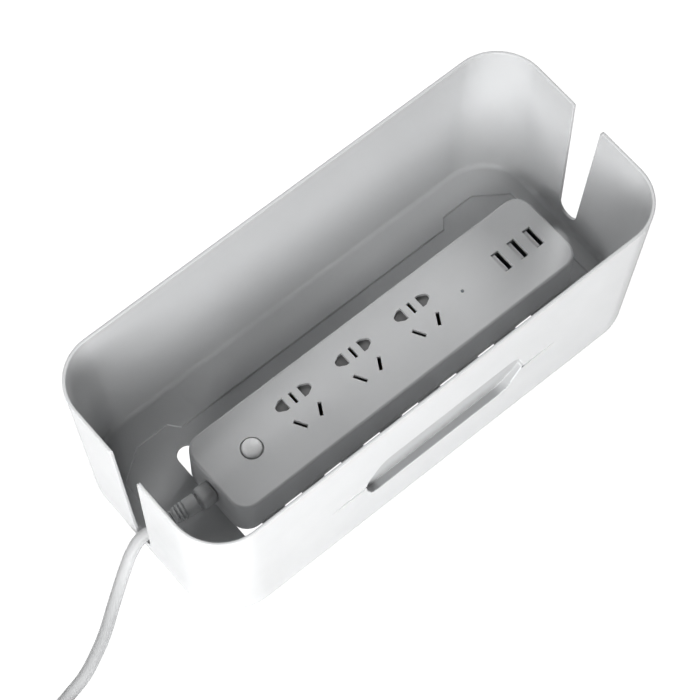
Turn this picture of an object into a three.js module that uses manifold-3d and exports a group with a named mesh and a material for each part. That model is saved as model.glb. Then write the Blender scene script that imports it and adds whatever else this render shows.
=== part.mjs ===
// Cable tray: an open-topped plastic box for the desk or the floor, holding a three-outlet power strip.
// The strip's mains cord leaves through a V-notch in the left end wall and ends in a coil and a plug.
// Millimetres, +Z up. The origin is on the table, under the middle of the box. +X runs along the box
// to the right, and +Y points to its back.

import * as THREE from 'three';
import { mergeVertices } from 'three/addons/utils/BufferGeometryUtils.js';
import Module from 'manifold-3d';

const wasm = await Module();
wasm.setup();

// ---- Driving dimensions -------------------------------------------------------------------------

const GAP = 0.3;
const SMALL_CUT = 0.5;

// The box: outer outline at its underside and at its rim, which leans out all round.
const FOOT_LIFT = 1.2;
const BOX_BASE = { length: 302, width: 130.5, radius: 32 };
const BOX_RIM = { length: 312, width: 138, radius: 29 };
const BOX_HEIGHT = 112.9;
const WALL = 2;
const FLOOR = 2.2;
const BASE_CHAMFER = 1.5;
const LEDGE_HEIGHT = 1.2;

// V-notch in each end wall, open at the rim and round at the bottom.
const NOTCH_RIM_WIDTH = 20.8;
const NOTCH_RADIUS = 6.9;
const NOTCH_BOTTOM = 11.7;
const NOTCH_CUT = 24;

// Finger recess in the front wall, with a shallow groove running out of both its ends. Its back leans
// in towards its bottom.
const RECESS_HEIGHT = 35;
const RECESS_CENTRE = 55.7;
const RECESS_FLAT = 92;
const RECESS_WAIST = 110;
const RECESS_SKEW = 2.5;
const RECESS_CORNER = 6;
const RECESS_TOP_Y = -66.7;
const RECESS_BOTTOM_Y = -60.9;
const RECESS_FRONT = -76;
const POCKET_FRONT = -66.2;
const GROOVE_LENGTH = 158;
const GROOVE_WIDTH = 2.6;
const GROOVE_CENTRE = 54.2;
const GROOVE_DEPTH = 1.2;
const GROOVE_TAPER = 20;

// Front right quarter of the sunken part of the floor, from its middle to its end.
const SUNKEN_QUARTER = [[0, 40], [94, 40], [99, 46], [120, 46], [138, 33]];

// Vent slots across the floor.
const SLOT_COUNT = 8;
const SLOT_PITCH = 27.45;
const SLOT_WIDTH = 12;
const SLOT_FIRST = -101.3;
const SLOT_FRONT = -38;
const SLOT_BACK = 31.3;

// Rubber feet of the box.
const FOOT_RADIUS = 8;
const FOOT_RECESS = 0.8;
const FOOT_X = 118;
const FOOT_Y = 36;

// The power strip, in its own frame: origin under its middle, on its underside.
const STRIP = { length: 238.4, width: 51.8, radius: 10.5 };
const STRIP_PLACE = { x: 10.6, y: -6, z: 5.2 };
const STRIP_HEIGHT = 30.5;
const STRIP_WALL = 2;
const STRIP_TOP = 2.2;
const STRIP_CHAMFER = 1.2;
const BASE_HEIGHT = 4;
const BASE_FLOOR = 2;
const BASE_BEVEL = 1;
const LIP_TOP = 6.2;
const LIP_THICK = 1.5;
const COVER_BOTTOM = BASE_HEIGHT + GAP;
const COVER_CEILING = STRIP_HEIGHT - STRIP_TOP;

const SCREW_X = 109;
const SCREW_Y = 17;
const BOSS_RADIUS = 3.5;
const BASE_BOSS_TOP = 6.1;
const SCREW_LENGTH = 16;
const SCREW_RADIUS = 1;
const SCREW_BORE = 1.3;
const SCREW_CLEARANCE = 1.7;
const SCREW_HEAD = { radius: 3.1, bottom: 0.3, top: 1.4, neck: 1.7 };
const HEAD_RECESS = { radius: 3.4, depth: 2 };
const STRIP_FOOT_X = 96;
const STRIP_FOOT_RADIUS = 5;
const STRIP_FOOT_DROP = 1.5;
const STRIP_FOOT_RECESS = 1;

// Five-hole sockets: an earth slot and two slanted slots, and two holes for flat or round pins.
const SOCKET_X = [-55.6, -14.15, 27.3];
const EARTH_Y = 9.4;
const SLANTED_X = 6.86;
const SLANTED_Y = -4.9;
const SLANTED_ANGLE = THREE.MathUtils.degToRad(30);
const SLOT_THICK = 1.9;
const EARTH_LONG = 7;
const SLANTED_LONG = 7.8;
const FLAT_PIN_X = 6.35;
const FLAT_PIN_LONG = 7.2;
const FLAT_PIN_WIDE = 2.4;
const ROUND_PIN_X = 9.5;
const ROUND_PIN_RADIUS = 2.3;

const ROW_Y = -0.6;
const SWITCH_X = -91.1;
const SWITCH_Y = 0.9;
const BUTTON_RADIUS = 5.6;
const BUTTON_HOLE = 6.4;
const BUTTON = { bottom: 21, stem: 2.8, flange: 7.5, flangeBottom: 26.3, flangeTop: 28, shoulder: 31.2, dome: 1.6 };
const SWITCH_BODY = { length: 17, width: 23, height: 14.5, middle: 15.25, bore: 3.2, boreBottom: 9.5 };
const TERMINAL = { x: 5, thick: 0.8, width: 6.3, height: 4.7, middle: 5.35 };
const SPRING = { turns: 5, radius: 2.2, wire: 0.35, bottom: 10.3, height: 7.2 };
const LAMP_X = 54.9;
const LAMP_RADIUS = 0.6;
const LAMP_HOLE = 0.85;
const USB_X = [83.5, 94.95, 106.4];
const USB_LONG = 12.6;
const USB_WIDE = 5;
const USB_SHELL = { length: 5.9, width: 13.4, height: 15.1 };
const USB_MOUTH = { length: 4.7, width: 12.2, floor: 0.6 };
const TONGUE = { x: [-1.9, -0.1], y: [-5.6, 5.6], z: [13.9, 29.4] };

const SHUTTER_BOTTOM = 25.8;
const CONTACT_TOP = 24.5;
const BOARD_TOP = 12.6;
const BOARD_THICK = 1.6;

// Mains cord, in the box's frame.
const CORD_RADIUS = 3.5;
const EXIT_HEIGHT = 17.8;
const EXIT_HOLE = 4.5;
const RELIEF_END = [-133.8, -3.4, 19.7];
const CORD_ROUTE = [
  RELIEF_END, [-143, -1.9, 17.8], [-152.5, -0.6, 15.8], [-160.2, -2.4, 13.1], [-168.3, -6.3, 9.3],
  [-177.6, -12, 5.9], [-187.5, -18.7, 4], [-198, -26.2, 3.6], [-208.5, -32.3, 3.6],
  [-220.9, -38, 3.6], [-233.2, -41.1, 3.7], [-244, -43.6, 4.1], [-254.8, -46, 4.6],
];
const COIL_PLACE = { x: -269, y: -96.5, z: 1.3 };
const COIL_RADIUS = 38.5;
const TURN_PITCH = 7.1;
const COIL_WIDE = 3 * TURN_PITCH;
const COIL_HIGH = 2 * TURN_PITCH;
const PLUG_AXIS = { y: COIL_PLACE.y - COIL_RADIUS - TURN_PITCH, z: 15.2 };
const CORD_END = [[-242.8, PLUG_AXIS.y, 14.9], [-240, PLUG_AXIS.y, 15.1], [-236, PLUG_AXIS.y, PLUG_AXIS.z]];

// ---- Materials ----------------------------------------------------------------------------------

function material(color, roughness, metalness = 0) {
  return new THREE.MeshStandardMaterial({ color, roughness, metalness });
}

const whitePlastic = material(0xf2f3f4, 0.35);
const stripPlastic = material(0xd9dadb, 0.4);
const buttonPlastic = material(0xe9eaea, 0.35);
const shutterPlastic = material(0x9a9b9d, 0.5);
const darkPlastic = material(0x2b2c2e, 0.5);
const rubber = material(0x8c8d8f, 0.8);
const cordJacket = material(0xe6e7e8, 0.5);
const brass = material(0xc9a860, 0.3, 1);
const steel = material(0xb9bcc0, 0.3, 1);
const boardGreen = material(0x2f5d3f, 0.6);
const coilTape = material(0xd8b23c, 0.6);
const lampLens = material(0xcfe3ee, 0.2);
const liveWire = material(0x7a4a2c, 0.5);
const neutralWire = material(0x3d63a8, 0.5);
const earthWire = material(0x7da33c, 0.5);

// ---- Solids -------------------------------------------------------------------------------------

function toSolid(geometry) {
  const bare = geometry.clone();
  bare.deleteAttribute('normal');
  bare.deleteAttribute('uv');
  const merged = mergeVertices(bare, 1e-4);
  return new wasm.Manifold(new wasm.Mesh({
    numProp: 3,
    vertProperties: new Float32Array(merged.attributes.position.array),
    triVerts: new Uint32Array(merged.index.array),
  }));
}

function toGeometry(solid) {
  const mesh = solid.getMesh();
  const geometry = new THREE.BufferGeometry();
  geometry.setAttribute('position', new THREE.BufferAttribute(new Float32Array(mesh.vertProperties), 3));
  geometry.setIndex(new THREE.BufferAttribute(new Uint32Array(mesh.triVerts), 1));
  geometry.computeVertexNormals();
  return geometry;
}

function joined(solids) {
  return solids.reduce((whole, solid) => whole.add(solid));
}

function box(x, y, z) {
  const geometry = new THREE.BoxGeometry(x[1] - x[0], y[1] - y[0], z[1] - z[0]);
  geometry.translate((x[0] + x[1]) / 2, (y[0] + y[1]) / 2, (z[0] + z[1]) / 2);
  return toSolid(geometry);
}

function centredBox(size, centre) {
  const span = (k) => [centre[k] - size[k] / 2, centre[k] + size[k] / 2];
  return box(span(0), span(1), span(2));
}

function cylinder(radius, bottom, top, x = 0, y = 0, sides = 24) {
  const geometry = new THREE.CylinderGeometry(radius, radius, top - bottom, sides);
  geometry.rotateX(Math.PI / 2);
  geometry.translate(x, y, (bottom + top) / 2);
  return toSolid(geometry);
}

// A solid of revolution about Z. The profile is a list of [radius, height], from the bottom up.
function turned(profile, sides = 24) {
  const geometry = new THREE.LatheGeometry(profile.map(([r, z]) => new THREE.Vector2(r, z)), sides);
  geometry.rotateX(Math.PI / 2);
  return toSolid(geometry);
}

function roundedRectangle({ length, width, radius }) {
  const x = length / 2 - radius;
  const y = width / 2 - radius;
  const shape = new THREE.Shape();
  shape.absarc(x, y, radius, 0, Math.PI / 2);
  shape.absarc(-x, y, radius, Math.PI / 2, Math.PI);
  shape.absarc(-x, -y, radius, Math.PI, 1.5 * Math.PI);
  shape.absarc(x, -y, radius, 1.5 * Math.PI, 2 * Math.PI);
  return shape;
}

function prism(shape, bottom, top, curveSegments = 4) {
  const geometry = new THREE.ExtrudeGeometry(shape, {
    depth: top - bottom, steps: 1, bevelEnabled: false, curveSegments,
  });
  geometry.translate(0, 0, bottom);
  return toSolid(geometry);
}

function polygon(points) {
  return new THREE.Shape(points.map(([x, y]) => new THREE.Vector2(x, y)));
}

// A block whose outline is a rounded rectangle that changes from level to level.
function loftedBlock(levels, curveSegments = 4) {
  const first = levels[0];
  const count = levels.length - 1;
  const geometry = new THREE.ExtrudeGeometry(roundedRectangle(first), {
    depth: count, steps: count, bevelEnabled: false, curveSegments,
  });
  const place = geometry.attributes.position;
  const moved = (value, side, now) => {
    const beyond = Math.abs(value) - (first[side] / 2 - first.radius);
    return Math.sign(value) * (now[side] / 2 - now.radius + (beyond * now.radius) / first.radius);
  };
  for (let i = 0; i < place.count; i += 1) {
    const now = levels[Math.round(place.getZ(i))];
    place.setXYZ(i, moved(place.getX(i), 'length', now), moved(place.getY(i), 'width', now), now.z);
  }
  return toSolid(geometry);
}

// The outline moved in by a distance all round, at a height.
function inset(outline, distance, z) {
  return {
    length: outline.length - 2 * distance,
    width: outline.width - 2 * distance,
    radius: outline.radius - distance,
    z,
  };
}

function tube(points, radius, sides, steps) {
  const path = new THREE.CatmullRomCurve3(points.map((point) => new THREE.Vector3(...point)), false, 'centripetal');
  const section = [];
  for (let i = 0; i < sides; i += 1) {
    const angle = (2 * Math.PI * i) / sides;
    section.push([radius * Math.cos(angle), radius * Math.sin(angle)]);
  }
  const geometry = new THREE.ExtrudeGeometry(polygon(section), { extrudePath: path, steps, bevelEnabled: false });
  return toSolid(geometry);
}

function piece(name, solid, itsMaterial) {
  const mesh = new THREE.Mesh(toGeometry(solid), itsMaterial);
  mesh.name = name;
  return mesh;
}

const corners = [['front_left', -1, -1], ['front_right', 1, -1], ['back_left', -1, 1], ['back_right', 1, 1]];

// ---- The box ------------------------------------------------------------------------------------

// Outline of the box at a height above its underside.
function boxOutline(height, distance = 0) {
  const t = height / BOX_HEIGHT;
  const mix = (side) => BOX_BASE[side] + (BOX_RIM[side] - BOX_BASE[side]) * t;
  return inset({ length: mix('length'), width: mix('width'), radius: mix('radius') }, distance, FOOT_LIFT + height);
}

// Wedge with a round bottom, long enough to cut through an end wall.
function notchCutter(side) {
  const centre = NOTCH_BOTTOM + NOTCH_RADIUS;
  const rim = FOOT_LIFT + BOX_HEIGHT;
  const overshoot = 5;
  const slope = (NOTCH_RIM_WIDTH / 2 - NOTCH_RADIUS) / (rim - centre);
  const widest = NOTCH_RIM_WIDTH / 2 + slope * overshoot;
  const shape = new THREE.Shape();
  shape.moveTo(widest, rim + overshoot);
  shape.lineTo(-widest, rim + overshoot);
  shape.lineTo(-NOTCH_RADIUS, centre);
  shape.absarc(0, centre, NOTCH_RADIUS, Math.PI, 2 * Math.PI);
  const geometry = new THREE.ExtrudeGeometry(shape, { depth: NOTCH_CUT, bevelEnabled: false, curveSegments: 6 });
  geometry.translate(0, 0, -NOTCH_CUT / 2);
  geometry.rotateX(Math.PI / 2);
  geometry.rotateZ(Math.PI / 2);
  geometry.translate((side * BOX_BASE.length) / 2, 0, 0);
  return toSolid(geometry);
}

// Upright plate whose outline is drawn in X and Z, between two planes of Y.
function uprightPlate(shape, front, back) {
  const geometry = new THREE.ExtrudeGeometry(shape, { depth: back - front, bevelEnabled: false, curveSegments: 3 });
  geometry.rotateX(Math.PI / 2);
  geometry.translate(0, back, 0);
  return toSolid(geometry);
}

// Six-sided outline with rounded corners, widest at its waist and slightly skewed.
function recessOutline(grow = 0) {
  const high = RECESS_HEIGHT / 2 + grow;
  const flat = RECESS_FLAT / 2 + grow;
  const waist = RECESS_WAIST / 2 + 1.2 * grow;
  const ends = [
    [waist, 0], [flat + RECESS_SKEW, high], [-flat + RECESS_SKEW, high],
    [-waist, 0], [-flat - RECESS_SKEW, -high], [flat - RECESS_SKEW, -high],
  ].map(([x, z]) => new THREE.Vector2(x, RECESS_CENTRE + z));
  const shape = new THREE.Shape();
  ends.forEach((end, i) => {
    const before = ends[(i + ends.length - 1) % ends.length];
    const after = ends[(i + 1) % ends.length];
    const from = end.clone().add(before.clone().sub(end).setLength(RECESS_CORNER));
    const to = end.clone().add(after.clone().sub(end).setLength(RECESS_CORNER));
    if (i === 0) {
      shape.moveTo(from.x, from.y);
    } else {
      shape.lineTo(from.x, from.y);
    }
    shape.quadraticCurveTo(end.x, end.y, to.x, to.y);
  });
  return shape;
}

// Plate with the outline of the recess, from a plane of Y to the leaning back of the recess or behind it.
function recessPlate(front, behind, grow = 0) {
  const geometry = new THREE.ExtrudeGeometry(recessOutline(grow), { depth: 1, bevelEnabled: false, curveSegments: 3 });
  geometry.rotateX(Math.PI / 2);
  const place = geometry.attributes.position;
  const top = RECESS_CENTRE + RECESS_HEIGHT / 2;
  const lean = (RECESS_BOTTOM_Y - RECESS_TOP_Y) / RECESS_HEIGHT;
  for (let i = 0; i < place.count; i += 1) {
    const isBack = place.getY(i) > -0.5;
    place.setY(i, isBack ? RECESS_TOP_Y + lean * (top - place.getZ(i)) + behind : front);
  }
  return toSolid(geometry);
}

function grooveCutter() {
  const half = GROOVE_LENGTH / 2;
  const full = half - GROOVE_TAPER;
  const tall = GROOVE_WIDTH / 2;
  const outline = [[half, 0], [full, tall], [-full, tall], [-half, 0], [-full, -tall], [full, -tall]];
  const outer = -boxOutline(GROOVE_CENTRE - FOOT_LIFT).width / 2;
  const shape = polygon(outline.map(([x, z]) => [x, GROOVE_CENTRE + z]));
  return uprightPlate(shape, outer - GROOVE_WIDTH, outer + GROOVE_DEPTH);
}

// Sunken middle of the floor: wide near both ends, narrower between, with cut corners.
function sunkenFloor() {
  const corner = (x, y) => SUNKEN_QUARTER.map(([along, across]) => [x * along, y * across]);
  const rightSide = corner(1, -1).concat(corner(1, 1).slice(1).reverse());
  const leftSide = corner(-1, 1).concat(corner(-1, -1).slice(1).reverse());
  return polygon(rightSide.concat(leftSide));
}

function floorSlot(index) {
  const shape = roundedRectangle({
    length: SLOT_WIDTH, width: SLOT_BACK - SLOT_FRONT, radius: SLOT_WIDTH / 2 - 0.01,
  });
  const slot = prism(shape, 0, FOOT_LIFT + FLOOR + LEDGE_HEIGHT + SMALL_CUT, 3);
  return slot.translate([SLOT_FIRST + index * SLOT_PITCH, (SLOT_FRONT + SLOT_BACK) / 2, 0]);
}

function trayShell() {
  const outer = loftedBlock([boxOutline(0, BASE_CHAMFER), boxOutline(BASE_CHAMFER), boxOutline(BOX_HEIGHT)]);
  const ledge = FLOOR + LEDGE_HEIGHT;
  const hollow = loftedBlock([boxOutline(ledge, WALL), boxOutline(BOX_HEIGHT + SMALL_CUT, WALL)]);
  const sunken = prism(sunkenFloor(), FOOT_LIFT + FLOOR, FOOT_LIFT + ledge + SMALL_CUT);
  let shell = outer.subtract(hollow).subtract(sunken).add(recessPlate(POCKET_FRONT, WALL, WALL));
  shell = shell.subtract(recessPlate(RECESS_FRONT, 0)).subtract(grooveCutter());
  for (let i = 0; i < SLOT_COUNT; i += 1) {
    shell = shell.subtract(floorSlot(i));
  }
  for (const side of [-1, 1]) {
    shell = shell.subtract(notchCutter(side));
  }
  for (const [, x, y] of corners) {
    const top = FOOT_LIFT + FOOT_RECESS;
    shell = shell.subtract(cylinder(FOOT_RADIUS + GAP, 0, top, x * FOOT_X, y * FOOT_Y));
  }
  return shell;
}

function buildTray() {
  const group = new THREE.Group();
  group.add(piece('tray_shell', trayShell(), whitePlastic));
  for (const [corner, x, y] of corners) {
    const foot = piece(`tray_foot_${corner}`, cylinder(FOOT_RADIUS, 0, FOOT_LIFT + FOOT_RECESS - GAP), rubber);
    foot.position.set(x * FOOT_X, y * FOOT_Y, 0);
    group.add(foot);
  }
  return group;
}

// ---- The power strip's casing -------------------------------------------------------------------

function slotCutter(long, thick, x, y, angle) {
  const slot = centredBox([thick, long, 4 * STRIP_TOP], [0, 0, STRIP_HEIGHT]);
  return slot.rotate([0, 0, THREE.MathUtils.radToDeg(angle)]).translate([x, y, 0]);
}

// Hole for a flat pin, opening outwards into the hole for a round pin.
function doublePinHole(side) {
  const flat = FLAT_PIN_X - FLAT_PIN_WIDE / 2;
  const shape = new THREE.Shape();
  shape.moveTo(flat, -FLAT_PIN_LONG / 2);
  shape.lineTo(FLAT_PIN_X + FLAT_PIN_WIDE / 2, -FLAT_PIN_LONG / 2);
  shape.absarc(ROUND_PIN_X, 0, ROUND_PIN_RADIUS, -Math.PI / 2, Math.PI / 2);
  shape.lineTo(FLAT_PIN_X + FLAT_PIN_WIDE / 2, FLAT_PIN_LONG / 2);
  shape.lineTo(flat, FLAT_PIN_LONG / 2);
  const hole = prism(shape, COVER_CEILING - 1, STRIP_HEIGHT + 1, 3);
  return side > 0 ? hole : hole.rotate([0, 0, 180]);
}

function socketCutters(x) {
  const cutters = [slotCutter(EARTH_LONG, SLOT_THICK, x, EARTH_Y, 0)];
  for (const side of [-1, 1]) {
    cutters.push(slotCutter(SLANTED_LONG, SLOT_THICK, x + side * SLANTED_X, SLANTED_Y, -side * SLANTED_ANGLE));
    cutters.push(doublePinHole(side).translate([x, EARTH_Y, 0]));
  }
  return cutters;
}

function stripCover() {
  let cover = loftedBlock([
    inset(STRIP, 0, COVER_BOTTOM),
    inset(STRIP, 0, STRIP_HEIGHT - STRIP_CHAMFER),
    inset(STRIP, STRIP_CHAMFER, STRIP_HEIGHT),
  ]);
  cover = cover.subtract(loftedBlock([
    inset(STRIP, STRIP_WALL, COVER_BOTTOM - SMALL_CUT),
    inset(STRIP, STRIP_WALL, COVER_CEILING),
  ]));
  for (const [, x, y] of corners) {
    const post = cylinder(BOSS_RADIUS, BASE_BOSS_TOP + GAP, COVER_CEILING + 1, x * SCREW_X, y * SCREW_Y, 16);
    const bore = cylinder(SCREW_BORE, BASE_BOSS_TOP, SCREW_LENGTH + 2, x * SCREW_X, y * SCREW_Y, 12);
    cover = cover.add(post).subtract(bore);
  }
  const holes = SOCKET_X.flatMap(socketCutters);
  for (const x of USB_X) {
    holes.push(centredBox([USB_WIDE, USB_LONG, 4 * STRIP_TOP], [x, ROW_Y, STRIP_HEIGHT]));
  }
  holes.push(cylinder(BUTTON_HOLE, COVER_CEILING - 1, STRIP_HEIGHT + 1, SWITCH_X, SWITCH_Y, 32));
  holes.push(cylinder(LAMP_HOLE, COVER_CEILING - 1, STRIP_HEIGHT + 1, LAMP_X, ROW_Y, 12));
  holes.push(cylinder(EXIT_HOLE, -3, 3).rotate([0, 90, 0]).translate([-STRIP.length / 2, 0, EXIT_HEIGHT]));
  return cover.subtract(joined(holes));
}

function stripBase() {
  let base = loftedBlock([inset(STRIP, BASE_BEVEL, 0), inset(STRIP, 0, BASE_BEVEL), inset(STRIP, 0, BASE_HEIGHT)]);
  const lip = STRIP_WALL + GAP;
  base = base.add(loftedBlock([inset(STRIP, lip, BASE_HEIGHT - 1), inset(STRIP, lip, LIP_TOP)]));
  const hollow = lip + LIP_THICK;
  base = base.subtract(loftedBlock([inset(STRIP, hollow, BASE_FLOOR), inset(STRIP, hollow, LIP_TOP + 1)]));
  for (const [, x, y] of corners) {
    const at = [x * SCREW_X, y * SCREW_Y];
    base = base.add(cylinder(BOSS_RADIUS + 1, BASE_FLOOR - 1, BASE_BOSS_TOP, ...at, 16));
    base = base.subtract(cylinder(SCREW_CLEARANCE, -1, LIP_TOP + 1, ...at, 12));
    base = base.subtract(cylinder(HEAD_RECESS.radius, -1, HEAD_RECESS.depth, ...at, 16));
    const foot = [x * STRIP_FOOT_X, y * SCREW_Y];
    base = base.subtract(cylinder(STRIP_FOOT_RADIUS + GAP, -1, STRIP_FOOT_RECESS, ...foot, 20));
  }
  return base;
}

function buildCasing() {
  const group = new THREE.Group();
  group.add(piece('strip_cover', stripCover(), stripPlastic));
  group.add(piece('strip_base', stripBase(), stripPlastic));
  const { radius, bottom, top, neck } = SCREW_HEAD;
  const head = [[0, bottom], [radius, bottom], [radius, top], [SCREW_RADIUS, neck]];
  const screw = turned([...head, [SCREW_RADIUS, SCREW_LENGTH], [0, SCREW_LENGTH]], 12);
  const foot = cylinder(STRIP_FOOT_RADIUS, -STRIP_FOOT_DROP, STRIP_FOOT_RECESS - GAP, 0, 0, 20);
  for (const [corner, x, y] of corners) {
    const screwPiece = piece(`strip_screw_${corner}`, screw, steel);
    screwPiece.position.set(x * SCREW_X, y * SCREW_Y, 0);
    const footPiece = piece(`strip_foot_${corner}`, foot, rubber);
    footPiece.position.set(x * STRIP_FOOT_X, y * SCREW_Y, 0);
    group.add(screwPiece, footPiece);
  }
  return group;
}

// ---- Contacts and shutters ----------------------------------------------------------------------

const BAR_THICK = 0.8;
const BAR_WIDE = 5;
const LEAF_THICK = 0.6;
const LEAF_WIDE = 5.6;
const SLOT_OPENING = 1.8;
const TWO_PIN_OPENING = 3.6;
const TWO_PIN_X = 8;
const ARM_X = 8.2;
const ARM_WIDE = 4;
const BAR_START = -72;
const BAR_END = 44;
const LIVE_BAR = { y: -15, z: 7.5 };
const NEUTRAL_BAR = { y: 17, z: 7.5 };
const EARTH_BAR = { y: EARTH_Y, z: 4.5 };

// Two upright leaves that a flat pin enters between, on a small foot.
function contactCup(x, y, bottom, opening, angle = 0) {
  const offset = opening / 2 + LEAF_THICK / 2;
  const middle = (bottom + CONTACT_TOP) / 2;
  const leaves = [-1, 1].map((side) =>
    centredBox([LEAF_THICK, LEAF_WIDE, CONTACT_TOP - bottom], [side * offset, 0, middle]));
  const foot = centredBox([opening + 2 * LEAF_THICK, LEAF_WIDE, BAR_THICK], [0, 0, bottom + BAR_THICK / 2]);
  return joined([foot, ...leaves]).rotate([0, 0, THREE.MathUtils.radToDeg(angle)]).translate([x, y, 0]);
}

function bar({ y, z }) {
  return box([BAR_START, BAR_END], [y - BAR_WIDE / 2, y + BAR_WIDE / 2], [z, z + BAR_THICK]);
}

function earthBar() {
  const cups = SOCKET_X.map((x) => contactCup(x, EARTH_Y, EARTH_BAR.z, SLOT_OPENING));
  return joined([bar(EARTH_BAR), ...cups]);
}

// Bar for one pole: an arm at each socket carries the slanted contact and the two-pin contact.
function poleBar(place, side) {
  const reach = [Math.min(place.y, SLANTED_Y - LEAF_WIDE / 2), Math.max(place.y, EARTH_Y + LEAF_WIDE / 2)];
  const parts = SOCKET_X.flatMap((x) => [
    box([x + side * ARM_X - ARM_WIDE / 2, x + side * ARM_X + ARM_WIDE / 2], reach, [place.z, place.z + BAR_THICK]),
    contactCup(x + side * SLANTED_X, SLANTED_Y, place.z, SLOT_OPENING, -side * SLANTED_ANGLE),
    contactCup(x + side * TWO_PIN_X, EARTH_Y, place.z, TWO_PIN_OPENING),
  ]);
  return joined([bar(place), ...parts]);
}

// Plate with two wings, which close the two-pin holes until a plug pushes it back.
function shutter() {
  const inner = 4.4;
  const outer = 12.8;
  const front = EARTH_Y - 4.3;
  const bridge = EARTH_Y + 4.2;
  const back = bridge + 2;
  const outline = [
    [-outer, front], [-inner, front], [-inner, bridge], [inner, bridge],
    [inner, front], [outer, front], [outer, back], [-outer, back],
  ];
  return prism(polygon(outline), SHUTTER_BOTTOM, COVER_CEILING - GAP);
}

function buildContacts() {
  const group = new THREE.Group();
  group.add(piece('live_bar', poleBar(LIVE_BAR, -1), brass));
  group.add(piece('neutral_bar', poleBar(NEUTRAL_BAR, 1), brass));
  group.add(piece('earth_bar', earthBar(), brass));
  SOCKET_X.forEach((x, i) => {
    const mesh = piece(`socket_shutter_${i + 1}`, shutter(), shutterPlastic);
    mesh.position.x = x;
    group.add(mesh);
  });
  return group;
}

// ---- Switch, charger board and indicator --------------------------------------------------------

function switchButton() {
  const dome = [];
  const steps = 5;
  for (let i = 0; i <= steps; i += 1) {
    const angle = (Math.PI / 2) * (i / steps);
    dome.push([BUTTON_RADIUS * Math.cos(angle), BUTTON.shoulder + BUTTON.dome * Math.sin(angle)]);
  }
  dome[steps][0] = 0;
  const under = [
    [0, BUTTON.bottom], [BUTTON.stem, BUTTON.bottom], [BUTTON.stem, BUTTON.flangeBottom],
    [BUTTON.flange, BUTTON.flangeBottom], [BUTTON.flange, BUTTON.flangeTop], [BUTTON_RADIUS, BUTTON.flangeTop],
  ];
  return turned(under.concat(dome), 32);
}

function switchSpring() {
  const { turns, radius, wire, bottom, height } = SPRING;
  const perTurn = 8;
  const points = [];
  for (let i = 0; i <= turns * perTurn; i += 1) {
    const angle = (2 * Math.PI * i) / perTurn;
    const along = i / (turns * perTurn);
    points.push([radius * Math.cos(angle), radius * Math.sin(angle), bottom + height * along]);
  }
  return tube(points, wire, 5, turns * 10);
}

function buildSwitch() {
  const group = new THREE.Group();
  group.position.set(SWITCH_X, SWITCH_Y, 0);
  const { length, width, height, middle, bore, boreBottom } = SWITCH_BODY;
  const body = centredBox([length, width, height], [0, 0, middle]);
  const well = cylinder(bore, boreBottom, middle + height, 0, 0, 20);
  group.add(piece('switch_body', body.subtract(well), darkPlastic));
  group.add(piece('switch_button', switchButton(), buttonPlastic));
  group.add(piece('switch_spring', switchSpring(), steel));
  [-1, 1].forEach((side, i) => {
    const tab = centredBox([TERMINAL.thick, TERMINAL.width, TERMINAL.height], [side * TERMINAL.x, 0, TERMINAL.middle]);
    group.add(piece(`switch_terminal_${i + 1}`, tab, brass));
  });
  return group;
}

function usbPort() {
  const bottom = BOARD_TOP + GAP;
  const across = ({ length, width }) => [[-length / 2, length / 2], [-width / 2, width / 2]];
  const shell = box(...across(USB_SHELL), [bottom, bottom + USB_SHELL.height]);
  return shell.subtract(box(...across(USB_MOUTH), [bottom + USB_MOUTH.floor, STRIP_HEIGHT]));
}

function buildCharger() {
  const group = new THREE.Group();
  group.position.y = ROW_Y;
  const underside = BOARD_TOP + GAP;
  const thickness = [BOARD_TOP - BOARD_THICK, BOARD_TOP];
  const board = box([50, 103], [-20, 20], thickness).add(box([102, 114], [-12, 12], thickness));
  group.add(piece('usb_board', board, boardGreen));
  USB_X.forEach((x, i) => {
    const port = piece(`usb_port_${i + 1}`, usbPort(), steel);
    const tongue = piece(`usb_tongue_${i + 1}`, box(TONGUE.x, TONGUE.y, TONGUE.z), darkPlastic);
    port.position.x = x;
    tongue.position.x = x;
    group.add(port, tongue);
  });
  group.add(piece('usb_transformer', box([66, 78], [2, 16], [underside, underside + 12]), coilTape));
  const can = cylinder(4, underside, underside + 13, 72, -9, 20);
  group.add(piece('usb_capacitor', can, darkPlastic));
  const pipeTop = STRIP_HEIGHT - 0.1;
  const pipe = turned([
    [0, 21], [2.5, 21], [2.5, 22.5], [LAMP_RADIUS, 22.5], [LAMP_RADIUS, pipeTop], [0, pipeTop],
  ], 12);
  group.add(piece('lamp_pipe', pipe.translate([LAMP_X, 0, 0]), lampLens));
  return group;
}

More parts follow.
